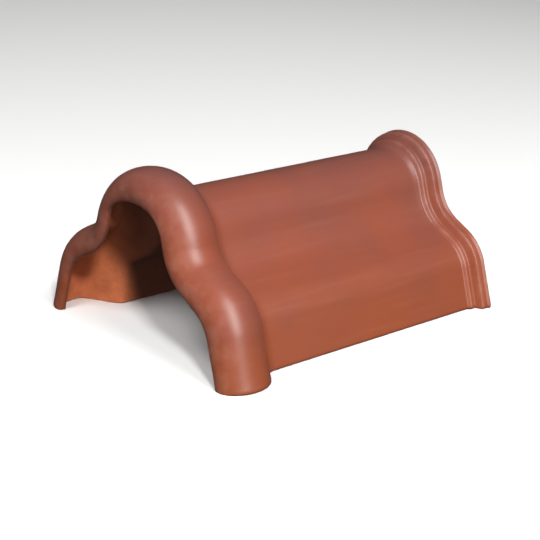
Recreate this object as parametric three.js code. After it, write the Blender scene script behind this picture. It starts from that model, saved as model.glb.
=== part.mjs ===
// Decorative clay ridge tile.
//
// A bell-shaped (ogee) body covers the roof ridge. At one end a hollow round roll, the
// hood, stands proud of the body and ends in a lip that turns in. At the other end two
// beads and a plain band make the spigot, which the hood of the next tile covers.
//
// Millimetres, +Z up. +X runs along the ridge from the hood to the spigot, and the
// origin is under the middle of the tile, on the plane that its underside rests on.

import * as THREE from "three";

// ---- Driving dimensions -------------------------------------------------------------

const LENGTH = 297.4;
const CREST_HEIGHT = 120;

// Bell curve of the body's outside face, from the crest down. Slopes are in degrees
// from the horizontal.
const CROWN_RADIUS = 37.2;
const FLANK_SLOPE = 72.7;
const HOLLOW_RADIUS = 44.2;
const SKIRT_SLOPE = 26.9;
const SHOULDER_RADIUS = 32;
const LEG_SLOPE = 72.8;
const FLANK_RUN = 6.4;
const SKIRT_RUN = 17.7;

// Clay thickness of the body at the crown and at the legs, and of the hood.
const CROWN_WALL = 14;
const LEG_WALL = 17.5;
const HOOD_WALL = 9.9;

// Hood: a half-round roll, a little lower over the crest and at the feet.
const HOOD_FRONT = 22.8;
const HOOD_BACK = 24.7;
const HOOD_HEIGHT = 23.6;
const HOOD_NOSE = 4.4;
const HOOD_FILLET = 10.8;
const HOOD_CREST_LOSS = 2;
const HOOD_FOOT_LOSS = 1.6;

// Lip: its inner edge stands 1 mm inside the body's bell curve, over a flatter crown.
const LIP_INSET = 1;
const LIP_NOSE = 3.2;
const LIP_LAND = 3;
const LIP_CREST_DROP = 2.5;
const LIP_CROWN_FLATTENING = 0.47;
const LIP_CROWN_TIGHTENING = 2.8;
const LIP_FLANK_STEEPENING = 2.8;
const LIP_HOLLOW_EASING = 3.5;

// Hollow inside the hood: where its roof starts, and the step down to the body's wall.
const HOOD_ROOF_START = 23.2;
const STEP_START = 28.4;
const STEP_END = 53.6;

// Spigot: distances back from the end of the tile, and heights over the body's face.
const FLARE_START = 26.4;
const SMALL_BEAD_BACK = 16.3;
const GROOVE_BACK = 13;
const LARGE_BEAD_BACK = 8.5;
const BAND_DIP_BACK = 4;
const SMALL_BEAD_HEIGHT = 2.3;
const GROOVE_HEIGHT = 1.6;
const LARGE_BEAD_HEIGHT = 7.8;
const BAND_DIP_HEIGHT = 7.4;
const BAND_HEIGHT = 9.1;
const SPIGOT_CREST_LIFT = 3.7;

// Small chamfer round the underside.
const EDGE_HEIGHT = 2;
const EDGE_INSET = 1.6;

// Facets along each stretch of the half section, from the crest to the foot.
const CROWN_FACETS = 9;
const FLANK_FACETS = 1;
const HOLLOW_FACETS = 7;
const SKIRT_FACETS = 1;
const SHOULDER_FACETS = 8;
const LEG_FACETS = 4;

const SHOULDER_FIRST_ROW = CROWN_FACETS + FLANK_FACETS + HOLLOW_FACETS + SKIRT_FACETS;
const LAST_ROW = SHOULDER_FIRST_ROW + SHOULDER_FACETS + LEG_FACETS;

// The foot's own offset takes over from this share of the shoulder downwards.
const FOOT_BLEND_START = 0.3;

// ---- Small helpers ------------------------------------------------------------------

const radians = THREE.MathUtils.degToRad;
const { lerp, clamp, smoothstep } = THREE.MathUtils;

const halfCosine = (t) => (1 - Math.cos(Math.PI * t)) / 2;

// count values from just after 0 up to 1
function steps(count) {
  return Array.from({ length: count }, (_, i) => (i + 1) / count);
}

// ---- Bell section -------------------------------------------------------------------

// Where the skirt meets the shoulder, on the body's bell curve moved out by offset.
function shoulderStart(offset) {
  const flank = radians(FLANK_SLOPE);
  const skirt = radians(SKIRT_SLOPE);
  const crown = CROWN_RADIUS + offset;
  const hollow = HOLLOW_RADIUS - offset;
  const y = crown * Math.sin(flank)
    + FLANK_RUN * Math.cos(flank)
    + hollow * (Math.sin(flank) - Math.sin(skirt))
    + SKIRT_RUN * Math.cos(skirt);
  const drop = crown * (1 - Math.cos(flank))
    + FLANK_RUN * Math.sin(flank)
    + hollow * (Math.cos(skirt) - Math.cos(flank))
    + SKIRT_RUN * Math.sin(skirt);
  return [y, CREST_HEIGHT + offset - drop];
}

// Half of the bell curve moved out by offset, as [y, z] rows from the crest to the top
// of the foot's chamfer. lift raises the crown alone. lip runs from 0, the body's
// shape, to 1, the lip's flatter crown. The shoulder stays in its place: the two
// straight stretches take up the difference.
function bellRows(offset, lift, lip) {
  const flatness = 1 - lip * LIP_CROWN_FLATTENING;
  const flank = radians(FLANK_SLOPE + lip * LIP_FLANK_STEEPENING);
  const skirt = radians(SKIRT_SLOPE);
  const leg = radians(LEG_SLOPE);
  const crown = CROWN_RADIUS + offset - lip * LIP_CROWN_TIGHTENING;
  const hollow = HOLLOW_RADIUS - offset + lip * LIP_HOLLOW_EASING;
  const shoulder = SHOULDER_RADIUS + offset;

  const rows = [[0, CREST_HEIGHT + offset + lift]];
  const last = () => rows[rows.length - 1];
  const addRun = (slope, run, count) => {
    const [y, z] = last();
    for (const t of steps(count)) {
      rows.push([y + Math.cos(slope) * run * t, z - Math.sin(slope) * run * t]);
    }
  };
  // turn is 1 where the slope grows, over a convex arc, and -1 in the hollow
  const addArc = (radius, from, to, count, turn) => {
    const [y, z] = last();
    for (const t of steps(count)) {
      const slope = lerp(from, to, t);
      const dy = turn * radius * (Math.sin(slope) - Math.sin(from));
      const dz = turn * radius * (Math.cos(slope) - Math.cos(from));
      rows.push([y + dy, z + dz]);
    }
  };

  // crown: a circle, or an ellipse over the lip, down to the slope of the flank
  const crownEnd = Math.atan(Math.tan(flank) / flatness);
  const crest = last()[1];
  for (const t of steps(CROWN_FACETS)) {
    const angle = crownEnd * t;
    const drop = flatness * crown * (1 - Math.cos(angle));
    rows.push([crown * Math.sin(angle), crest - drop]);
  }

  // lengths of the flank and the skirt that reach the shoulder's fixed start
  const [shoulderY, shoulderZ] = shoulderStart(offset);
  const gapY = shoulderY - last()[0] - hollow * (Math.sin(flank) - Math.sin(skirt));
  const gapZ = last()[1] - shoulderZ - hollow * (Math.cos(skirt) - Math.cos(flank));
  const turn = Math.sin(flank - skirt);
  const flankRun = (gapZ * Math.cos(skirt) - gapY * Math.sin(skirt)) / turn;
  const skirtRun = (gapY * Math.sin(flank) - gapZ * Math.cos(flank)) / turn;

  addRun(flank, flankRun, FLANK_FACETS);
  addArc(hollow, flank, skirt, HOLLOW_FACETS, -1);
  addRun(skirt, skirtRun, SKIRT_FACETS);
  addArc(shoulder, skirt, leg, SHOULDER_FACETS, 1);
  addRun(leg, (last()[1] - EDGE_HEIGHT) / Math.sin(leg), LEG_FACETS);
  return rows;
}

// A station's half section: the crown's offset turns into the leg's on the way down.
function stationRows({ crown, leg, lift, lip }) {
  const upper = bellRows(crown, lift, lip);
  const lower = bellRows(leg, lift, lip);
  const blendFirst = SHOULDER_FIRST_ROW + FOOT_BLEND_START * SHOULDER_FACETS;
  return upper.map(([y, z], row) => {
    const share = smoothstep(row, blendFirst, LAST_ROW);
    return [lerp(y, lower[row][0], share), lerp(z, lower[row][1], share)];
  });
}

// ---- Wall section: stations round the clay, from the lip over the outside and back --

function station(x, crown, leg = crown, lift = 0, lip = 0) {
  return { x, crown, leg, lift, lip };
}

// On the hood the crest and the feet lose height in step with the offset.
function hoodStation(x, offset, lip = 0) {
  const share = Math.max(0, offset) / HOOD_HEIGHT;
  const leg = offset - HOOD_FOOT_LOSS * share;
  const lift = -HOOD_CREST_LOSS * share - LIP_CREST_DROP * lip;
  return station(x, offset, leg, lift, lip);
}

function hoodOutside() {
  const list = [];
  const noseDepth = HOOD_NOSE + LIP_INSET;
  // rounded edge of the lip
  for (const t of [0, ...steps(3).slice(0, -1)]) {
    const angle = (Math.PI / 2) * t;
    const x = LIP_NOSE * (1 - Math.sin(angle));
    const offset = HOOD_NOSE - noseDepth * Math.cos(angle);
    list.push(hoodStation(x, offset, Math.cos(angle)));
  }
  // front of the roll, up to its highest line
  const rise = HOOD_HEIGHT - HOOD_NOSE;
  for (const t of [0, ...steps(6)]) {
    const angle = (Math.PI / 2) * t;
    list.push(hoodStation(
      HOOD_FRONT * (1 - Math.cos(angle)),
      HOOD_NOSE + rise * Math.sin(angle),
    ));
  }
  // back of the roll: an ellipse, then a fillet that ends level with the body. Both are
  // circles of radius rise and HOOD_FILLET, stretched along the tile by the same factor.
  const stretch = HOOD_BACK / rise;
  const filletHeight = HOOD_FILLET - HOOD_NOSE;
  const filletReach = Math.sqrt((rise + HOOD_FILLET) ** 2 - filletHeight ** 2);
  const meeting = Math.atan2(filletHeight, filletReach);
  for (const t of steps(6)) {
    const angle = lerp(Math.PI / 2, meeting, t);
    list.push(hoodStation(
      HOOD_FRONT + stretch * rise * Math.cos(angle),
      HOOD_NOSE + rise * Math.sin(angle),
    ));
  }
  for (const t of steps(4)) {
    const angle = lerp(Math.PI + meeting, 1.5 * Math.PI, t);
    list.push(hoodStation(
      HOOD_FRONT + stretch * (filletReach + HOOD_FILLET * Math.cos(angle)),
      HOOD_FILLET + HOOD_FILLET * Math.sin(angle),
    ));
  }
  return list;
}

// Eased ramps from one [x, height, lift] to the next along the spigot.
function spigotOutside() {
  const turns = [
    { x: LENGTH - FLARE_START, height: 0, lift: 0, facets: 1 },
    {
      x: LENGTH - SMALL_BEAD_BACK,
      height: SMALL_BEAD_HEIGHT,
      lift: SPIGOT_CREST_LIFT,
      facets: 5,
    },
    { x: LENGTH - GROOVE_BACK, height: GROOVE_HEIGHT, lift: SPIGOT_CREST_LIFT, facets: 2 },
    {
      x: LENGTH - LARGE_BEAD_BACK,
      height: LARGE_BEAD_HEIGHT,
      lift: SPIGOT_CREST_LIFT,
      facets: 4,
    },
    {
      x: LENGTH - BAND_DIP_BACK,
      height: BAND_DIP_HEIGHT,
      lift: SPIGOT_CREST_LIFT,
      facets: 2,
    },
    { x: LENGTH, height: BAND_HEIGHT, lift: SPIGOT_CREST_LIFT, facets: 2 },
  ];
  const list = [station(turns[0].x, turns[0].height)];
  for (let i = 1; i < turns.length; i += 1) {
    const a = turns[i - 1];
    const b = turns[i];
    for (const t of steps(b.facets)) {
      const ease = halfCosine(t);
      const height = lerp(a.height, b.height, ease);
      list.push(station(lerp(a.x, b.x, t), height, height, lerp(a.lift, b.lift, ease)));
    }
  }
  return list;
}

// Inside face, from the spigot's end back to the lip.
function inside() {
  const list = [];
  const spigotCrown = LARGE_BEAD_HEIGHT - CROWN_WALL;
  const spigotLeg = LARGE_BEAD_HEIGHT - LEG_WALL;
  list.push(station(LENGTH, spigotCrown, spigotLeg, SPIGOT_CREST_LIFT));
  list.push(station(LENGTH - LARGE_BEAD_BACK, spigotCrown, spigotLeg, SPIGOT_CREST_LIFT));
  list.push(station(LENGTH - FLARE_START, -CROWN_WALL, -LEG_WALL));

  // the step: an easy curve up from the body's wall to the roof of the hood's hollow
  const roof = HOOD_HEIGHT - HOOD_WALL;
  const roofShare = roof / HOOD_HEIGHT;
  const roofLeg = roof - HOOD_FOOT_LOSS * roofShare;
  const roofLift = -HOOD_CREST_LOSS * roofShare;
  for (const t of [0, ...steps(7)]) {
    const ease = halfCosine(t);
    list.push(station(
      lerp(STEP_END, STEP_START, t),
      lerp(-CROWN_WALL, roof, ease),
      lerp(-LEG_WALL, roofLeg, ease),
      roofLift * ease,
    ));
  }

  // the front of the hollow rounds down to the back of the lip
  const lipBack = LIP_NOSE + LIP_LAND;
  for (const t of [0, ...steps(6)]) {
    const angle = (Math.PI / 2) * (1 - t);
    const offset = lerp(-LIP_INSET, roof, Math.sin(angle));
    const x = lerp(lipBack, HOOD_ROOF_START, 1 - Math.cos(angle));
    list.push(hoodStation(x, offset, 1 - Math.sin(angle)));
  }
  return list;
}

// ---- Solid --------------------------------------------------------------------------

// How far each station's surface faces away from the vault: 1 on the outside face, -1
// on the inside face, and in between round the lip and at the spigot's end.
function outwardShares(stations) {
  const count = stations.length;
  return stations.map((_, i) => {
    const before = stations[(i + count - 1) % count];
    const after = stations[(i + 1) % count];
    const along = new THREE.Vector2(after.x - before.x, after.leg - before.leg);
    return along.normalize().x;
  });
}

// The stations' sections are joined into one closed skin, and each foot is capped by a
// flat face on the resting plane.
function tileGeometry() {
  const stations = [...hoodOutside(), ...spigotOutside(), ...inside()];
  const outward = outwardShares(stations);
  const positions = [];
  const indices = [];

  // one full section a station: left foot, over the crest, right foot
  stations.forEach((place, i) => {
    const rows = stationRows(place);
    const x = place.x - LENGTH / 2;
    const footY = rows[LAST_ROW][0] - EDGE_INSET * outward[i];
    positions.push(x, footY, 0);
    for (let row = LAST_ROW; row > 0; row -= 1) {
      positions.push(x, rows[row][0], rows[row][1]);
    }
    positions.push(x, 0, rows[0][1]);
    for (let row = 1; row <= LAST_ROW; row += 1) {
      positions.push(x, -rows[row][0], rows[row][1]);
    }
    positions.push(x, -footY, 0);
  });

  const width = 2 * LAST_ROW + 3;
  const index = (i, column) => (i % stations.length) * width + column;
  for (let i = 0; i < stations.length; i += 1) {
    for (let column = 0; column < width - 1; column += 1) {
      const a = index(i, column);
      const b = index(i + 1, column);
      const c = index(i + 1, column + 1);
      const d = index(i, column + 1);
      indices.push(a, c, b, a, d, c);
    }
  }

  for (const column of [0, width - 1]) {
    const outline = stations.map((_, i) => {
      const at = 3 * index(i, column);
      return new THREE.Vector2(positions[at], positions[at + 1]);
    });
    for (const face of THREE.ShapeUtils.triangulateShape(outline, [])) {
      const facesDown = THREE.ShapeUtils.isClockWise(face.map((i) => outline[i]));
      const corners = face.map((i) => index(i, column));
      indices.push(...(facesDown ? corners : corners.reverse()));
    }
  }

  const geometry = new THREE.BufferGeometry();
  geometry.setAttribute("position", new THREE.Float32BufferAttribute(positions, 3));
  geometry.setIndex(indices);
  geometry.computeVertexNormals();
  return geometry;
}

// ---- Scene graph --------------------------------------------------------------------

const firedClay = new THREE.MeshStandardMaterial({
  color: 0xa55a46,
  roughness: 0.45,
  metalness: 0,
});

const ridgeTile = new THREE.Mesh(tileGeometry(), firedClay);
ridgeTile.name = "ridge_tile";

const object = new THREE.Group();
object.add(ridgeTile);

export default object;
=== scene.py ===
"""A decorative clay ridge tile: its fine surface, its fired clay and a plain stage.

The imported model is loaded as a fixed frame. The clay shell made here takes the place of
the frame's plain solid: the same bell curve, hood, lip and spigot, swept much finer, with
soft edges and the slight unevenness of pressed clay. Lengths are in metres, +X runs
along the ridge from the hood to the spigot, and +Z is up.
"""

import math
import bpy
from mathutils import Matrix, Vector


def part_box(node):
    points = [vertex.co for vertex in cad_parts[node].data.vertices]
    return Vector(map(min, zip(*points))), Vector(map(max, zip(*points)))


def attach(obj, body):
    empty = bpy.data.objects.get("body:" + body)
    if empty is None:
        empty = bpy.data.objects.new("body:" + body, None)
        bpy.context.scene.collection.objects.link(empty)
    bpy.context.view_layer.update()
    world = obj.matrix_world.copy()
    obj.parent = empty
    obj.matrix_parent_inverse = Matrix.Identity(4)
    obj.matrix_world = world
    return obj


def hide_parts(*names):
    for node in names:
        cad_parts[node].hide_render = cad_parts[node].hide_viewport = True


bl_info = {
    "name": "Clay Ridge Tile",
    "version": (1, 0, 0),
    "blender": (4, 5, 0),
    "location": "View3D > Sidebar > Ridge Tile",
    "description": "Makes a bell-shaped clay ridge tile with a hood and a beaded spigot",
    "category": "Add Mesh",
}

import bpy
import numpy as np
from bpy.props import FloatProperty, FloatVectorProperty, PointerProperty
from bpy.types import Operator, Panel, PropertyGroup
from mathutils import Matrix, Vector

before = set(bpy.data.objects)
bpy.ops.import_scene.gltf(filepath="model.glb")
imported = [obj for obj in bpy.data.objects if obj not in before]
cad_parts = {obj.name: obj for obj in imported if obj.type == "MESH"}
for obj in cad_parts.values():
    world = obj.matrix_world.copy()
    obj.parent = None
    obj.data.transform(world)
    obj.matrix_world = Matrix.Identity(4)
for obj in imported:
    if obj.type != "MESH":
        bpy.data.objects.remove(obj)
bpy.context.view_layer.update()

NODE = "ridge_tile"
TILE_LOW, TILE_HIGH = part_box(NODE)


# ---- Properties ---------------------------------------------------------------------


def length(name, description, default):
    """A length property in metres."""
    return FloatProperty(
        name=name, description=description, default=default, precision=4, unit="LENGTH"
    )


def angle(name, description, degrees):
    """An angle property, given in degrees."""
    return FloatProperty(
        name=name, description=description, default=math.radians(degrees), subtype="ANGLE"
    )


def amount(name, description, default):
    """A plain number."""
    return FloatProperty(name=name, description=description, default=default)


def colour(name, description, default):
    """A colour, in linear red, green and blue."""
    return FloatVectorProperty(
        name=name, description=description, default=default, size=3, min=0, max=1,
        subtype="COLOR",
    )


class BellSizes(PropertyGroup):
    """The bell curve of the body's outside face, from the crest down."""

    crest_height: length("Crest height", "Height of the body's crest", 0.120)
    crown_radius: length("Crown radius", "Radius over the ridge", 0.0372)
    flank_slope: angle("Flank slope", "Steepest slope beside the crown", 72.7)
    flank_run: length("Flank run", "Straight stretch below the crown", 0.0064)
    hollow_radius: length("Hollow radius", "Radius of the hollow below the flank", 0.0442)
    skirt_slope: angle("Skirt slope", "Slope between the hollow and the shoulder", 26.9)
    skirt_run: length("Skirt run", "Straight stretch above the shoulder", 0.0177)
    shoulder_radius: length("Shoulder radius", "Radius of the shoulder", 0.032)
    leg_slope: angle("Leg slope", "Slope of the legs", 72.8)
    crown_wall: length("Crown wall", "Clay thickness at the crown", 0.014)
    leg_wall: length("Leg wall", "Clay thickness at the legs", 0.0175)


class HoodSizes(PropertyGroup):
    """The round hollow roll over one end, and its turned-in lip."""

    front: length("Front", "From the lip's front to the roll's highest line", 0.0228)
    back: length("Back", "Half length of the roll behind its highest line", 0.0247)
    height: length("Height", "Height of the roll over the body", 0.0236)
    nose: length("Nose", "Height over the body of the roll's foremost line", 0.0044)
    fillet: length("Fillet", "Radius where the roll meets the body", 0.0108)
    crest_loss: length("Crest loss", "How much lower the roll is over the crest", 0.002)
    foot_loss: length("Foot loss", "How much less the roll stands out at the feet", 0.0016)
    wall: length("Wall", "Clay thickness of the roll", 0.0099)
    lip_inset: length("Lip inset", "How far the lip turns in past the body's face", 0.001)
    lip_nose: length("Lip nose", "Depth of the lip's rounded front", 0.0032)
    lip_land: length("Lip land", "Depth of the flat behind the lip's front", 0.003)
    lip_drop: length("Lip drop", "How much lower the lip is over the crest", 0.0025)
    lip_flattening: amount("Lip flattening", "Share by which the crown is flatter", 0.47)
    lip_tightening: length("Lip tightening", "How much smaller the crown is", 0.0028)
    lip_steepening: angle("Lip steepening", "How much steeper the flanks are", 2.8)
    lip_easing: length("Lip easing", "How much wider the hollow's curve is", 0.0035)
    roof_start: length("Roof start", "Where the hollow inside reaches its roof", 0.0232)
    step_start: length("Step start", "Where the roof starts to step down", 0.0284)
    step_end: length("Step end", "Where the step reaches the body's wall", 0.0536)


class SpigotSizes(PropertyGroup):
    """The beads and the band at the other end, measured back from the end face."""

    flare_start: length("Flare start", "Where the surface starts to rise", 0.0264)
    flank_lag: length("Flank lag", "How much later it rises on the flanks", 0.0062)
    small_back: length("Small bead", "Place of the small bead", 0.0163)
    groove_back: length("Groove", "Place of the groove between the beads", 0.013)
    large_back: length("Large bead", "Place of the large bead", 0.0085)
    dip_back: length("Band dip", "Place of the slight dip in the band", 0.004)
    small_height: length("Small bead height", "Over the body's face", 0.0023)
    groove_height: length("Groove height", "Over the body's face", 0.0016)
    large_height: length("Large bead height", "Over the body's face", 0.0078)
    dip_height: length("Band dip height", "Over the body's face", 0.0078)
    band_height: length("Band height", "Over the body's face, at the end", 0.0091)
    crest_lift: length("Crest lift", "Extra rise of the spigot over the crest", 0.0037)


class ClayLook(PropertyGroup):
    """The fired clay's colours and surface."""

    body: colour("Body", "Smooth red-brown skin of the tile", (0.232, 0.055, 0.0275))
    # also the colour of the painted shade that darkens the tile towards the crest
    dusk: colour("Dusk", "Darker, purplish flashing from the kiln", (0.15, 0.051, 0.042))
    ember: colour("Ember", "Warmer clay towards the lower edges", (0.26, 0.058, 0.015))
    raw: colour("Raw", "Bare clay inside the tile", (0.78, 0.225, 0.095))
    # painted shade: a near-black clay colour that stands in for the shadow deep inside the
    # vault
    painted_shade: colour("Shadow", "Shaded clay deep inside the vault", (0.10, 0.038, 0.026))
    chalk: colour("Chalk", "Paler clay on rubbed edges", (0.38, 0.17, 0.12))
    unevenness: length("Unevenness", "Depth of the pressed clay's waviness", 0.0003)
    edge_radius: length("Edge radius", "Rounding of the cut edges", 0.0014)


class StageLook(PropertyGroup):
    """Camera and light."""

    azimuth: angle("Azimuth", "Camera's turn round the tile", -41.62)
    elevation: angle("Elevation", "Camera's height above the horizon", 19.36)
    roll: angle("Roll", "Camera's turn about its own line of sight", 1.82)
    distance: length("Distance", "From the camera to the aim", 1.1726)
    lens: amount("Lens", "Focal length in millimetres", 95.33)
    aim: FloatVectorProperty(
        name="Aim", description="Point that the camera looks at", size=3, unit="LENGTH",
        default=(-0.01824, -0.01258, 0.04092),
    )
    daylight: amount("Daylight", "Strength of the even light from all round", 0.06)
    floor: colour("Floor", "Colour of the floor", (0.92, 0.92, 0.91))


# ---- Bell sweep ---------------------------------------------------------------------

# Points along each stretch of the half section, from the crest to the foot.
CROWN_POINTS = 24
FLANK_POINTS = 4
HOLLOW_POINTS = 18
SKIRT_POINTS = 5
SHOULDER_POINTS = 20
LEG_POINTS = 20
FOOT_POINTS = 5

# The foot's own offset takes over from this share of the shoulder downwards.
FOOT_BLEND_START = 0.3

# Height of the rounded foot edge, and how far it draws in.
FOOT_EDGE_HEIGHT = 0.002
FOOT_EDGE_INSET = 0.0016

# Points along the tile, from the lip's front round to the lip's back.
LIP_POINTS = 8
ROLL_FRONT_POINTS = 24
ROLL_BACK_POINTS = 22
FILLET_POINTS = 14
BODY_POINTS = 52
FLARE_POINTS = 20
GROOVE_POINTS = 6
LARGE_BEAD_POINTS = 9
DIP_POINTS = 6
BAND_POINTS = 4
EDGE_POINTS = 5
INNER_BAND_POINTS = 6
INNER_FLARE_POINTS = 10
VAULT_POINTS = 46
STEP_POINTS = 22
ROOF_POINTS = 20

# How rubbed the clay is on the lip, on the beads, and on the end face's two edges.
LIP_RUB = 0.7
BEAD_RUB = 0.8
DIP_RUB = 0.1
OUTER_EDGE_RUB = 0.5
INNER_EDGE_RUB = 0.2
LIP_BACK_RUB = 0.4
FOOT_RUB = 0.5

# How much of the smooth skin is gone at the end face's edge, how much of it reaches the
# back of the lip, and how much of it is gone under the feet.
END_SKIN_LOSS = 0.5
LIP_BACK_SKIN = 0.25
LIP_EDGE_SKIN = 0.5
FOOT_SKIN_LOSS = 0.6


def ease(t):
    """Half a cosine wave from 0 to 1."""
    return (1 - np.cos(np.pi * np.clip(t, 0, 1))) / 2


def smooth(t):
    """Smooth step from 0 to 1."""
    t = np.clip(t, 0, 1)
    return t * t * (3 - 2 * t)


def steps(count, first=False):
    """Shares from just after 0, or from 0, to 1."""
    shares = np.linspace(0, 1, count + 1)
    return shares if first else shares[1:]


def stations(x, crown, leg=None, lift=0.0, lip=0.0, skin=1.0, rub=0.0):
    """Stations as rows of an array, from values that are numbers or lists.

    The columns are the place along the tile, the offsets from the body's face at the
    crown and at the leg, the crown's extra lift, and three shares from 0 to 1: of the
    lip's shape, of the smooth outer skin and of rubbing.
    """
    leg = crown if leg is None else leg
    return np.stack(np.broadcast_arrays(x, crown, leg, lift, lip, skin, rub), axis=-1)


def hood_stations(hood, x, offset, lip=0.0, skin=1.0, rub=0.0):
    """On the hood the crest and the feet lose height in step with the offset."""
    share = np.maximum(0, offset) / hood.height
    return stations(
        x,
        offset,
        offset - hood.foot_loss * share,
        -hood.crest_loss * share - hood.lip_drop * np.asarray(lip),
        lip,
        skin,
        rub,
    )


def hood_outside(hood):
    """From the lip's edge over the roll, down to the body."""
    turn = steps(LIP_POINTS, first=True)[:-1] * math.pi / 2
    depth = hood.nose + hood.lip_inset
    lip = hood_stations(
        hood,
        hood.lip_nose * (1 - np.sin(turn)),
        hood.nose - depth * np.cos(turn),
        lip=np.cos(turn),
        rub=LIP_RUB,
    )
    rise = hood.height - hood.nose
    turn = steps(ROLL_FRONT_POINTS, first=True) * math.pi / 2
    front = hood_stations(
        hood,
        hood.front * (1 - np.cos(turn)),
        hood.nose + rise * np.sin(turn),
        rub=LIP_RUB * np.cos(turn) ** 2,
    )
    # the back and its fillet are circles, stretched along the tile by the same factor
    stretch = hood.back / rise
    height = hood.fillet - hood.nose
    reach = math.sqrt((rise + hood.fillet) ** 2 - height**2)
    meeting = math.atan2(height, reach)
    turn = math.pi / 2 + (meeting - math.pi / 2) * steps(ROLL_BACK_POINTS)
    back = hood_stations(
        hood,
        hood.front + stretch * rise * np.cos(turn),
        hood.nose + rise * np.sin(turn),
    )
    turn = math.pi + meeting + (math.pi / 2 - meeting) * steps(FILLET_POINTS)
    fillet = hood_stations(
        hood,
        hood.front + stretch * (reach + hood.fillet * np.cos(turn)),
        hood.fillet * (1 + np.sin(turn)),
    )
    return np.vstack([lip, front, back, fillet])


def spigot_outside(spigot, tile_length, start, radius):
    """Along the body, over the two beads and the band, to the edge of the end face."""
    lift = spigot.crest_lift
    flare_start = tile_length - spigot.flare_start
    small_bead = tile_length - spigot.small_back
    flank_start = flare_start + spigot.flank_lag
    plain = stations(start + (flare_start - start) * steps(BODY_POINTS), 0.0)
    x = flare_start + (small_bead - flare_start) * steps(FLARE_POINTS)
    # the crest starts to rise before the flanks do
    crest_share = ease((x - flare_start) / (small_bead - flare_start))
    flank_share = ease((x - flank_start) / (small_bead - flank_start))
    flare = stations(
        x,
        spigot.small_height * flank_share,
        lift=lift * crest_share,
        rub=BEAD_RUB * flank_share,
    )
    # place back from the end, height, rub and points up to there
    turns = [
        (spigot.small_back, spigot.small_height, BEAD_RUB, 0),
        (spigot.groove_back, spigot.groove_height, 0.0, GROOVE_POINTS),
        (spigot.large_back, spigot.large_height, BEAD_RUB, LARGE_BEAD_POINTS),
        (spigot.dip_back, spigot.dip_height, DIP_RUB, DIP_POINTS),
        (radius, spigot.band_height, OUTER_EDGE_RUB, BAND_POINTS),
    ]
    parts = [plain, flare]
    for (back, height, rub, _), (next_back, next_height, next_rub, count) in zip(
        turns, turns[1:]
    ):
        t = steps(count)
        parts.append(stations(
            tile_length - back + (back - next_back) * t,
            height + (next_height - height) * ease(t),
            lift=lift,
            rub=rub + (next_rub - rub) * ease(t),
        ))
    t = steps(EDGE_POINTS)
    turn = t * math.pi / 2
    parts.append(stations(
        tile_length - radius + radius * np.sin(turn),
        spigot.band_height - radius + radius * np.cos(turn),
        lift=lift,
        skin=1 - END_SKIN_LOSS * t,
        rub=OUTER_EDGE_RUB,
    ))
    return np.vstack(parts)


def inside(bell, hood, spigot, tile_length, radius):
    """From the end face back along the vault, over the hood's hollow, to the lip."""
    crown = spigot.large_height - bell.crown_wall
    leg = spigot.large_height - bell.leg_wall
    lift = spigot.crest_lift
    turn = steps(EDGE_POINTS) * math.pi / 2
    edge = stations(
        tile_length - radius + radius * np.cos(turn),
        crown + radius - radius * np.sin(turn),
        leg + radius - radius * np.sin(turn),
        lift,
        skin=0.0,
        rub=INNER_EDGE_RUB,
    )
    t = steps(INNER_BAND_POINTS)
    band_end = tile_length - spigot.large_back
    band = stations(
        tile_length - radius + (band_end - tile_length + radius) * t,
        crown,
        leg,
        lift,
        skin=0.0,
    )
    t = steps(INNER_FLARE_POINTS)
    flare_end = tile_length - spigot.flare_start
    flare = stations(
        band_end + (flare_end - band_end) * t,
        crown + (-bell.crown_wall - crown) * ease(t),
        leg + (-bell.leg_wall - leg) * ease(t),
        lift * (1 - ease(t)),
        skin=0.0,
    )
    t = steps(VAULT_POINTS)
    body = stations(
        flare_end + (hood.step_end - flare_end) * t,
        -bell.crown_wall,
        -bell.leg_wall,
        skin=0.0,
    )
    roof = hood.height - hood.wall
    share = roof / hood.height
    t = steps(STEP_POINTS)
    step = stations(
        hood.step_end + (hood.step_start - hood.step_end) * t,
        -bell.crown_wall + (roof + bell.crown_wall) * ease(t),
        -bell.leg_wall + (roof - hood.foot_loss * share + bell.leg_wall) * ease(t),
        -hood.crest_loss * share * ease(t),
        skin=0.0,
    )
    lip_back = hood.lip_nose + hood.lip_land
    low = radius - hood.lip_inset
    turn = (math.pi / 2) * (1 - steps(ROOF_POINTS, first=True))
    hollow = hood_stations(
        hood,
        lip_back + (hood.roof_start - lip_back) * (1 - np.cos(turn)),
        low + (roof - low) * np.sin(turn),
        lip=1 - np.sin(turn),
        skin=LIP_BACK_SKIN * (1 - np.sin(turn)) ** 2,
    )
    t = steps(EDGE_POINTS)
    turn = t * math.pi / 2
    land = hood_stations(
        hood,
        lip_back - radius + radius * np.cos(turn),
        low - radius * np.sin(turn),
        lip=1.0,
        skin=LIP_BACK_SKIN + LIP_EDGE_SKIN * t,
        rub=LIP_BACK_RUB,
    )
    return np.vstack([edge, band, flare, body, step, hollow, land])


def shoulder_start(bell, offset):
    """Where the skirt meets the shoulder on the bell curve moved out by offset."""
    crown = bell.crown_radius + offset
    hollow = bell.hollow_radius - offset
    flank, skirt = bell.flank_slope, bell.skirt_slope
    y = (
        crown * math.sin(flank)
        + bell.flank_run * math.cos(flank)
        + hollow * (math.sin(flank) - math.sin(skirt))
        + bell.skirt_run * math.cos(skirt)
    )
    drop = (
        crown * (1 - math.cos(flank))
        + bell.flank_run * math.sin(flank)
        + hollow * (math.cos(skirt) - math.cos(flank))
        + bell.skirt_run * math.sin(skirt)
    )
    return y, bell.crest_height + offset - drop


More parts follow.
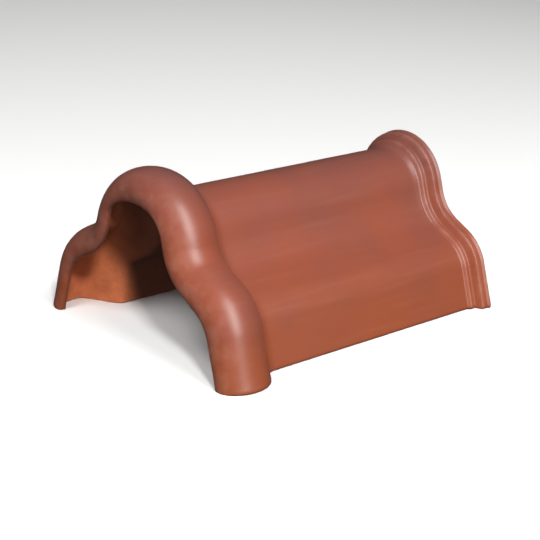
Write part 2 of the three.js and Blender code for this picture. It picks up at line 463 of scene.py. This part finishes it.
def bell_rows(bell, hood, offset, lift, lip):
    """Half of the bell curve for each station, from the crest to the top of the foot's
    edge. The offset, the lift and the lip share are columns, one row a station."""
    flat = 1 - lip * hood.lip_flattening
    flank = bell.flank_slope + lip * hood.lip_steepening
    skirt, leg = bell.skirt_slope, bell.leg_slope
    crown = bell.crown_radius + offset - lip * hood.lip_tightening
    hollow = bell.hollow_radius - offset + lip * hood.lip_easing
    shoulder = bell.shoulder_radius + offset

    turn = np.arctan(np.tan(flank) / flat) * steps(CROWN_POINTS, first=True)
    y = crown * np.sin(turn)
    z = bell.crest_height + offset + lift - flat * crown * (1 - np.cos(turn))

    def run(y, z, slope, reach, count):
        t = steps(count) * reach
        y_new, z_new = y[:, -1:] + np.cos(slope) * t, z[:, -1:] - np.sin(slope) * t
        return np.hstack([y, y_new]), np.hstack([z, z_new])

    def arc(y, z, radius, start, end, count, turn):
        slope = start + (end - start) * steps(count)
        y_new = y[:, -1:] + turn * radius * (np.sin(slope) - np.sin(start))
        z_new = z[:, -1:] + turn * radius * (np.cos(slope) - np.cos(start))
        return np.hstack([y, y_new]), np.hstack([z, z_new])

    # the two straight stretches take up what the lip's flatter crown leaves
    shoulder_y, shoulder_z = shoulder_start(bell, offset)
    gap_y = shoulder_y - y[:, -1:] - hollow * (np.sin(flank) - np.sin(skirt))
    gap_z = z[:, -1:] - shoulder_z - hollow * (np.cos(skirt) - np.cos(flank))
    cross = np.sin(flank - skirt)
    flank_run = (gap_z * np.cos(skirt) - gap_y * np.sin(skirt)) / cross
    skirt_run = (gap_y * np.sin(flank) - gap_z * np.cos(flank)) / cross

    y, z = run(y, z, flank, flank_run, FLANK_POINTS)
    y, z = arc(y, z, hollow, flank, skirt, HOLLOW_POINTS, -1)
    y, z = run(y, z, skirt, skirt_run, SKIRT_POINTS)
    y, z = arc(y, z, shoulder, skirt, leg, SHOULDER_POINTS, 1)
    leg_run = (z[:, -1:] - FOOT_EDGE_HEIGHT) / math.sin(leg)
    return run(y, z, leg, leg_run, LEG_POINTS)


def sweep(table, bell, hood):
    """The skin's points, as an array of stations by rows from the left foot over the
    crest to the right foot, and the skin and rub values of each."""
    x, crown, leg, lift, lip, skin, rub = np.hsplit(table, table.shape[1])
    upper_y, upper_z = bell_rows(bell, hood, crown, lift, lip)
    lower_y, lower_z = bell_rows(bell, hood, leg, lift, lip)
    row = np.arange(upper_y.shape[1])
    shoulder_row = CROWN_POINTS + FLANK_POINTS + HOLLOW_POINTS + SKIRT_POINTS
    blend_row = shoulder_row + FOOT_BLEND_START * SHOULDER_POINTS
    share = smooth((row - blend_row) / (row[-1] - blend_row))
    y = upper_y + (lower_y - upper_y) * share
    z = upper_z + (lower_z - upper_z) * share

    # rounded foot edge, drawn in towards the middle of the wall
    along = np.roll(table, -1, 0)[:, [0, 2]] - np.roll(table, 1, 0)[:, [0, 2]]
    outward = along[:, [0]] / np.linalg.norm(along, axis=1, keepdims=True)
    turn = steps(FOOT_POINTS) * math.pi / 2
    foot_y = y[:, -1:] - FOOT_EDGE_INSET * outward * (1 - np.cos(turn))
    foot_z = FOOT_EDGE_HEIGHT * (1 - np.sin(turn)) + 0 * foot_y
    y, z = np.hstack([y, foot_y]), np.hstack([z, foot_z])

    foot_share = np.hstack([0 * row, steps(FOOT_POINTS)])
    skin = skin * (1 - FOOT_SKIN_LOSS * foot_share)
    rub = np.maximum(rub, FOOT_RUB * foot_share)

    x = x - bpy.context.scene.tile_length / 2 + 0 * y
    left = np.stack([x, y, z], -1)[:, ::-1]
    right = np.stack([x, -y, z], -1)[:, 1:]
    skin, rub = (np.hstack([values[:, ::-1], values[:, 1:]]) for values in (skin, rub))
    return np.hstack([left, right]), skin, rub


# ---- Mesh helpers -------------------------------------------------------------------

# Points this near the ground are on it, and points this near each other are one.
TOUCH = 1e-6
SAME_POINT = 1e-7

# The clay's waviness: how far apart its waves are, and how high above the feet it has
# come in fully.
WAVE_GRAIN = 0.03
WAVE_FADE_HEIGHT = 0.012


def start_piece():
    """Object mode with nothing selected."""
    if bpy.context.mode != "OBJECT":
        bpy.ops.object.mode_set(mode="OBJECT")
    bpy.ops.object.select_all(action="DESELECT")


def add_grid(name, points):
    """A grid primitive with one vertex for each point, in rows and columns, put in place."""
    start_piece()
    rows, columns = points.shape[:2]
    bpy.ops.mesh.primitive_grid_add(
        x_subdivisions=columns - 1, y_subdivisions=rows - 1, size=1, calc_uvs=False
    )
    piece = bpy.context.active_object
    piece.name = piece.data.name = name
    if len(piece.data.vertices) != rows * columns:
        raise RuntimeError(f"{name}: the grid has {len(piece.data.vertices)} vertices")
    piece.data.vertices.foreach_set("co", points.astype(np.float32).ravel())
    piece.data.update()
    return piece


def add_values(piece, name, values):
    """Stores one number for each vertex, for the material to read."""
    attribute = piece.data.attributes.new(name, "FLOAT", "POINT")
    attribute.data.foreach_set("value", values.astype(np.float32).ravel())


def edit(piece):
    """Edit mode on one piece, with nothing of it selected."""
    start_piece()
    piece.select_set(True)
    bpy.context.view_layer.objects.active = piece
    bpy.ops.object.mode_set(mode="EDIT")
    bpy.ops.mesh.select_mode(type="VERT")
    bpy.ops.mesh.select_all(action="DESELECT")


def fill_foot(piece, side):
    """Closes the flat underside of the foot at y > 0 or at y < 0."""
    edit(piece)
    bpy.ops.object.mode_set(mode="OBJECT")
    for vertex in piece.data.vertices:
        vertex.select = vertex.co.z < TOUCH and vertex.co.y * side > 0
    bpy.ops.object.mode_set(mode="EDIT")
    bpy.ops.mesh.select_mode(type="EDGE")
    bpy.ops.mesh.fill(use_beauty=True)
    bpy.ops.object.mode_set(mode="OBJECT")


def press_clay(piece, depth):
    """Lets the surface wave inwards by up to depth, fading out towards the feet."""
    group = piece.vertex_groups.new(name="pressed")
    for vertex in piece.data.vertices:
        weight = float(smooth(vertex.co.z / WAVE_FADE_HEIGHT))
        group.add([vertex.index], weight, "REPLACE")
    clouds = bpy.data.textures.new("pressed_clay", "CLOUDS")
    clouds.noise_scale = WAVE_GRAIN
    clouds.noise_depth = 1
    wave = piece.modifiers.new("pressed_clay", "DISPLACE")
    wave.texture = clouds
    wave.texture_coords = "LOCAL"
    wave.vertex_group = group.name
    wave.mid_level = 1
    wave.strength = depth
    bpy.context.view_layer.objects.active = piece
    bpy.ops.object.modifier_apply(modifier=wave.name)
    piece.vertex_groups.clear()


# ---- Shader helpers -----------------------------------------------------------------


class Shade:
    """A number that varies over the surface. Python's operators add Math nodes to it."""

    def __init__(self, finish, socket):
        self.finish = finish
        self.socket = socket

    def math(self, operation, *values):
        settings = {"operation": operation}
        return self.finish.node("ShaderNodeMath", settings, dict(enumerate(values)))

    def __add__(self, other):
        return self.math("ADD", self, other)

    def __sub__(self, other):
        return self.math("SUBTRACT", self, other)

    def __mul__(self, other):
        return self.math("MULTIPLY", self, other)

    def __radd__(self, other):
        return self.math("ADD", other, self)

    def __rsub__(self, other):
        return self.math("SUBTRACT", other, self)

    def __rmul__(self, other):
        return self.math("MULTIPLY", other, self)

    def between(self, low, high):
        """0 below low, 1 above high, and smooth in between."""
        return self.finish.node(
            "ShaderNodeMapRange",
            {"interpolation_type": "SMOOTHSTEP"},
            {"Value": self, "From Min": low, "From Max": high},
        )


class Finish:
    """A material and the nodes of one surface."""

    def __init__(self, name):
        self.material = bpy.data.materials.new(name)
        self.material.use_nodes = True
        self.tree = self.material.node_tree
        self.tree.nodes.clear()

    def node(self, kind, settings=None, values=None, output=0):
        """Adds a node, first its settings and then its sockets' values or links."""
        node = self.tree.nodes.new(kind)
        for name, setting in (settings or {}).items():
            setattr(node, name, setting)
        for name, value in (values or {}).items():
            if isinstance(value, Shade):
                self.tree.links.new(value.socket, node.inputs[name])
            else:
                node.inputs[name].default_value = value
        return Shade(self, node.outputs[output]) if node.outputs else None

    def places(self, scale=(1, 1, 1)):
        """Places on the piece, in metres, scaled along each axis."""
        coordinates = self.node("ShaderNodeTexCoord", output="Object")
        return self.node("ShaderNodeMapping", None, {"Vector": coordinates, "Scale": scale})

    def noise(self, grain, detail=3.0, roughness=0.5, scale=(1, 1, 1), shift=0.0):
        """Cloudy noise from 0 to 1 whose spots are about grain across, in metres."""
        return self.node(
            "ShaderNodeTexNoise",
            {"noise_dimensions": "4D"},
            {
                "Vector": self.places(scale),
                "W": shift,
                "Scale": 1 / grain,
                "Detail": detail,
                "Roughness": roughness,
            },
        )

    def stored(self, name):
        """A number stored on the piece's vertices."""
        return self.node("ShaderNodeAttribute", {"attribute_name": name}, output="Fac")

    def mix(self, share, first, second):
        """From the first colour to the second by share."""
        sockets = {"Factor": share, "A": first, "B": second}
        node = self.tree.nodes.new("ShaderNodeMix")
        node.data_type = "RGBA"
        chosen = {s.name: s for s in node.inputs if s.enabled}
        for name, value in sockets.items():
            if isinstance(value, Shade):
                self.tree.links.new(value.socket, chosen[name])
            elif isinstance(value, float):
                chosen[name].default_value = value
            else:
                chosen[name].default_value = (*value, 1)
        return Shade(self, next(s for s in node.outputs if s.enabled))

    def surface(self, values):
        """The surface's own shader, and the material's output."""
        shader = self.node("ShaderNodeBsdfPrincipled", None, values)
        self.node("ShaderNodeOutputMaterial", None, {"Surface": shader})
        return self.material


# ---- Finishes -----------------------------------------------------------------------

# Heights over which painted shade darkens the tile towards the crest, and over which the foot
# stops being warmer.
CREST_SHADE_LOW, CREST_SHADE_HIGH = 0.085, 0.145
FOOT_LOW, FOOT_HIGH = 0.01, 0.07

# Places along the tile between which painted shade darkens the inside, measured at the
# ground, how much further towards the hood they lie for each metre of height, and how dark
# the painted shade gets.
PAINTED_SHADE_START, PAINTED_SHADE_END = -0.096, -0.075
PAINTED_SHADE_LEAN = 0.4
PAINTED_SHADE_SHARE = 0.84

# Roughness of the satin skin and of the bare clay, and the clear sheen on the skin.
SATIN_ROUGHNESS = 0.40
BARE_ROUGHNESS = 0.86
SHEEN_WEIGHT = 0.9
SHEEN_ROUGHNESS = 0.38

# Strength and depth of the fine relief.
RELIEF_STRENGTH = 0.35
RELIEF_DEPTH = 0.0002


def fired_clay(look):
    """Satin red-brown skin outside, bare matt clay inside, paler where it is rubbed, with
    painted shade deep inside the vault and towards the crest.
    """
    finish = Finish("fired_clay")
    places = {"Vector": finish.places()}
    along = finish.node("ShaderNodeSeparateXYZ", None, places, output="X")
    height = finish.node("ShaderNodeSeparateXYZ", None, places, output="Z")
    skin = finish.stored("skin")
    rub = finish.stored("rub")

    flashing = finish.noise(0.075, detail=2.0, shift=1.3)
    mottle = finish.noise(0.012, detail=4.0, roughness=0.6, shift=4.1)
    speck = finish.noise(0.0011, detail=2.0, shift=7.7)
    drag = finish.noise(0.005, detail=3.0, scale=(0.05, 1, 1), shift=2.2)

    # kiln flashing in random patches, plus painted shade that darkens the tile towards the
    # crest
    crest = height.between(CREST_SHADE_LOW, CREST_SHADE_HIGH)
    dusk = (flashing.between(0.35, 0.75) * 0.55 + crest * 0.6 + mottle * 0.2) - 0.1
    ember = (1 - height.between(FOOT_LOW, FOOT_HIGH)) * (0.25 + 0.6 * mottle)
    colour = finish.mix(dusk, look.body, look.dusk)
    colour = finish.mix(ember, colour, look.ember)
    colour = finish.mix(speck.between(0.56, 0.78) * 0.28, colour, look.dusk)
    colour = finish.mix(drag.between(0.5, 0.8) * 0.08, colour, look.chalk)
    colour = finish.mix(rub * mottle.between(0.35, 0.7) * 0.5, colour, look.chalk)

    bare = finish.mix(mottle.between(0.3, 0.75) * 0.3, look.raw, look.ember)
    bare = finish.mix(speck.between(0.55, 0.75) * 0.35, bare, look.dusk)
    # painted shade: the vault beyond the hood's hollow is darkened as if no light reached it,
    # its edge leaning towards the hood higher up
    painted_shade = (along + height * PAINTED_SHADE_LEAN).between(PAINTED_SHADE_START, PAINTED_SHADE_END)
    bare = finish.mix(painted_shade * PAINTED_SHADE_SHARE, bare, look.painted_shade)
    edge = (skin + (mottle - 0.5) * 0.3).between(0.35, 0.65)
    colour = finish.mix(edge, bare, colour)

    satin = (
        SATIN_ROUGHNESS
        + 0.16 * (mottle - 0.5)
        + 0.10 * (drag - 0.5)
        + 0.08 * (speck - 0.5)
    )
    roughness = BARE_ROUGHNESS + edge * (satin - BARE_ROUGHNESS)
    grain = finish.noise(0.0006, detail=2.0, shift=5.5)
    pit = finish.noise(0.0035, detail=3.0, shift=9.1)
    relief = (
        grain * (1.6 - edge * 1.3) + pit * (1.6 - edge * 0.9) + drag * (0.9 - edge * 0.3)
    )
    normal = finish.node(
        "ShaderNodeBump",
        None,
        {"Strength": RELIEF_STRENGTH, "Distance": RELIEF_DEPTH, "Height": relief},
    )
    return finish.surface({
        "Base Color": colour,
        "Roughness": roughness,
        "Normal": normal,
        "Coat Weight": edge * SHEEN_WEIGHT,
        "Coat Roughness": SHEEN_ROUGHNESS,
    })


def plain_floor(look):
    """Pale studio paper."""
    finish = Finish("pale_floor")
    tone = finish.noise(0.4, detail=1.0)
    colour = finish.mix(tone * 0.05, look.floor, (0.85, 0.85, 0.85))
    return finish.surface({"Base Color": colour, "Roughness": 0.9})


# ---- Operators ----------------------------------------------------------------------

# Edges sharper than this stay sharp.
SHARP_ANGLE = 50

# The floor's size, and how far it lies under the tile.
FLOOR_SIZE = 8
FLOOR_GAP = 0.0002

# The camera's sensor width in millimetres, and the nearest it sees, in metres.
SENSOR_WIDTH = 36
NEAREST = 0.01


class RIDGE_OT_tile(Operator):
    """Make the clay tile"""

    bl_idname = "ridge.tile"
    bl_label = "Clay Tile"

    def execute(self, context):
        scene = context.scene
        bell, hood, spigot = scene.ridge_bell, scene.ridge_hood, scene.ridge_spigot
        look = scene.ridge_clay
        radius = look.edge_radius
        tile_length = scene.tile_length
        outside = hood_outside(hood)
        body_start = outside[-1, 0]
        table = np.vstack([
            outside,
            spigot_outside(spigot, tile_length, body_start, radius),
            inside(bell, hood, spigot, tile_length, radius),
        ])
        points, skin, rub = sweep(table, bell, hood)
        closed = [np.concatenate([values, values[:1]]) for values in (points, skin, rub)]
        tile = add_grid("clay_ridge_tile", closed[0])
        add_values(tile, "skin", closed[1])
        add_values(tile, "rub", closed[2])
        edit(tile)
        bpy.ops.mesh.select_all(action="SELECT")
        bpy.ops.mesh.remove_doubles(threshold=SAME_POINT)
        fill_foot(tile, 1)
        fill_foot(tile, -1)
        edit(tile)
        bpy.ops.mesh.select_all(action="SELECT")
        bpy.ops.mesh.normals_make_consistent(inside=False)
        bpy.ops.object.mode_set(mode="OBJECT")
        press_clay(tile, look.unevenness)
        bpy.ops.object.shade_smooth_by_angle(angle=math.radians(SHARP_ANGLE))
        tile.data.materials.append(fired_clay(look))
        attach(tile, "root")
        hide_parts(NODE)
        return {"FINISHED"}


# Soft lamps: turn round the tile and height above the horizon in degrees, distance,
# width and height in metres, power in watts, and whether the lamp shows as sheen. The
# tall strip draws the sheen and the small key lamp draws the shadows.
LAMPS = (
    ("strip_softbox", -3, 38, 2.6, (1.0, 2.8), 62, True),
    ("key_softbox", -30, 37, 2.6, (0.3, 0.3), 50, False),
    ("side_softbox", -65, 50, 2.6, (0.8, 0.8), 32, False),
    ("low_softbox", -42, 10, 2.6, (0.8, 0.8), 7, False),
    ("end_softbox", -90, 15, 2.6, (0.8, 0.8), 6, False),
    ("back_softbox", 145, 45, 2.6, (1.2, 1.2), 10, False),
)


def direction(turn, rise):
    """The way from the tile to something at this turn and height, in radians."""
    return Vector((
        math.sin(turn) * math.cos(rise),
        -math.cos(turn) * math.cos(rise),
        math.sin(rise),
    ))


def softbox(name, turn, rise, distance, size, power, sheen):
    """A soft square lamp that faces the tile."""
    start_piece()
    way = direction(math.radians(turn), math.radians(rise))
    middle = (TILE_LOW + TILE_HIGH) / 2
    bpy.ops.object.light_add(type="AREA", location=middle + way * distance)
    lamp = bpy.context.active_object
    lamp.name = name
    lamp.data.shape = "RECTANGLE"
    lamp.data.size, lamp.data.size_y = size
    lamp.data.energy = power
    lamp.visible_glossy = sheen
    lamp.rotation_euler = way.to_track_quat("Z", "Y").to_euler()
    return lamp


class RIDGE_OT_stage(Operator):
    """Make the floor, the lamps and the camera"""

    bl_idname = "ridge.stage"
    bl_label = "Stage"

    def execute(self, context):
        scene = context.scene
        look = scene.ridge_stage
        start_piece()
        bpy.ops.mesh.primitive_plane_add(
            size=FLOOR_SIZE, location=(0, 0, TILE_LOW.z - FLOOR_GAP)
        )
        floor = context.active_object
        floor.name = "floor"
        floor.data.materials.append(plain_floor(look))
        # the floor shows the tile's shadow but throws no light back up into the vault
        floor.visible_diffuse = False
        floor.visible_glossy = False

        for lamp in LAMPS:
            softbox(*lamp)

        world = scene.world or bpy.data.worlds.new("World")
        scene.world = world
        world.use_nodes = True
        sky = world.node_tree.nodes["Background"]
        sky.inputs["Color"].default_value = (1, 1, 1, 1)
        sky.inputs["Strength"].default_value = look.daylight

        back = direction(look.azimuth, look.elevation)
        bpy.ops.object.camera_add()
        camera = context.active_object
        camera.name = "camera"
        camera.data.lens = look.lens
        camera.data.sensor_width = SENSOR_WIDTH
        camera.data.clip_start = NEAREST
        level = back.to_track_quat("Z", "Y").to_matrix().to_4x4()
        tilt = Matrix.Rotation(look.roll, 4, "Z")
        place = Matrix.Translation(Vector(look.aim) + back * look.distance)
        camera.matrix_world = place @ level @ tilt
        scene.camera = camera
        scene.view_settings.view_transform = "Standard"
        return {"FINISHED"}


class RIDGE_PT_tile(Panel):
    """Lists the tile's parts and its stage"""

    bl_idname = "RIDGE_PT_tile"
    bl_label = "Ridge Tile"
    bl_space_type = "VIEW_3D"
    bl_region_type = "UI"
    bl_category = "Ridge Tile"

    def draw(self, context):
        scene = context.scene
        self.layout.prop(scene, "tile_length")
        for name in ("ridge_bell", "ridge_hood", "ridge_spigot", "ridge_clay", "ridge_stage"):
            box = self.layout.box()
            sizes = getattr(scene, name)
            for key in sizes.bl_rna.properties.keys():
                if key not in ("rna_type", "name"):
                    box.prop(sizes, key)
        self.layout.operator(RIDGE_OT_tile.bl_idname)
        self.layout.operator(RIDGE_OT_stage.bl_idname)


GROUPS = {
    "ridge_bell": BellSizes,
    "ridge_hood": HoodSizes,
    "ridge_spigot": SpigotSizes,
    "ridge_clay": ClayLook,
    "ridge_stage": StageLook,
}
CLASSES = (*GROUPS.values(), RIDGE_OT_tile, RIDGE_OT_stage, RIDGE_PT_tile)


def register():
    for kind in CLASSES:
        bpy.utils.register_class(kind)
    for name, kind in GROUPS.items():
        setattr(bpy.types.Scene, name, PointerProperty(type=kind))
    bpy.types.Scene.tile_length = length(
        "Tile length", "From the hood's front to the end face", TILE_HIGH.x - TILE_LOW.x
    )


def unregister():
    del bpy.types.Scene.tile_length
    for name in GROUPS:
        delattr(bpy.types.Scene, name)
    for kind in reversed(CLASSES):
        bpy.utils.unregister_class(kind)


def main():
    register()
    bpy.ops.ridge.tile()
    bpy.ops.ridge.stage()


if __name__ == "__main__":
    main()
